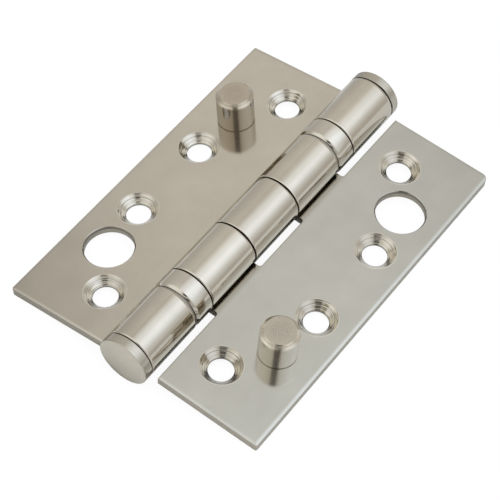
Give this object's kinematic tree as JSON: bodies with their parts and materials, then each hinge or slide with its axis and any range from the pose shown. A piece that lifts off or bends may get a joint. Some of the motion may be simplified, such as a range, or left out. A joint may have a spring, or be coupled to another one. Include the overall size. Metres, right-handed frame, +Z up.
{
  "type": "ball bearing hinge",
  "caption": "Open butt hinge with rolled knuckles, ball bearings between them, flat end caps, countersunk screw holes and a security stud with a matching hole in each leaf.",
  "frame": {"origin": "on the table, under the middle of the barrel", "axes": "+Y along the pin towards the far cap, +X towards the right leaf, which has two knuckles, +Z up, out of the countersunk faces"},
  "size_m": [0.0758, 0.1072, 0.0141],
  "materials": {
    "left_leaf_steel": "polished, warm grey",
    "right_leaf_steel": "polished, cool grey",
    "turned_steel": "turned and polished",
    "bearing_steel": "turned and polished",
    "inner_steel": "ground"
  },
  "bodies": {
    "left_side": {"left_leaf": "left_leaf_steel", "left_stud": "turned_steel", "hinge_pin": "inner_steel", "near_cap": "turned_steel", "far_cap": "turned_steel", "near_bearing_lower_race": "bearing_steel", "far_bearing_shell": "bearing_steel", "far_bearing_upper_race": "inner_steel"},
    "right_side": {"right_leaf": "right_leaf_steel", "right_stud": "turned_steel", "near_bearing_shell": "bearing_steel", "near_bearing_upper_race": "inner_steel", "far_bearing_lower_race": "bearing_steel"},
    "near_ball_ring": {"near_bearing_cage": "inner_steel", "near_bearing_ball_1": "inner_steel", "near_bearing_ball_2": "inner_steel", "near_bearing_ball_3": "inner_steel", "near_bearing_ball_4": "inner_steel", "near_bearing_ball_5": "inner_steel", "near_bearing_ball_6": "inner_steel", "near_bearing_ball_7": "inner_steel", "near_bearing_ball_8": "inner_steel", "near_bearing_ball_9": "inner_steel", "near_bearing_ball_10": "inner_steel"},
    "far_ball_ring": {"far_bearing_cage": "inner_steel", "far_bearing_ball_1": "inner_steel", "far_bearing_ball_2": "inner_steel", "far_bearing_ball_3": "inner_steel", "far_bearing_ball_4": "inner_steel", "far_bearing_ball_5": "inner_steel", "far_bearing_ball_6": "inner_steel", "far_bearing_ball_7": "inner_steel", "far_bearing_ball_8": "inner_steel", "far_bearing_ball_9": "inner_steel", "far_bearing_ball_10": "inner_steel"}
  },
  "joints": [
    {"name": "leaf_fold", "type": "hinge", "parent": "left_side", "child": "right_side", "pos_m": [0, 0, 0.00705], "axis": [0, -1, 0], "range_deg": [-110, 187.9]},
    {"name": "near_ball_ring_turn", "type": "hinge", "parent": "left_side", "child": "near_ball_ring", "pos_m": [0, 0, 0.00705], "axis": [0, -1, 0], "range_deg": [-60, 95]},
    {"name": "far_ball_ring_turn", "type": "hinge", "parent": "left_side", "child": "far_ball_ring", "pos_m": [0, 0, 0.00705], "axis": [0, -1, 0], "range_deg": [-60, 95]}
  ],
  "couplings": [
    {"joint": "near_ball_ring_turn", "follows": "leaf_fold", "ratio": 0.5},
    {"joint": "far_ball_ring_turn", "follows": "leaf_fold", "ratio": 0.5}
  ]
}
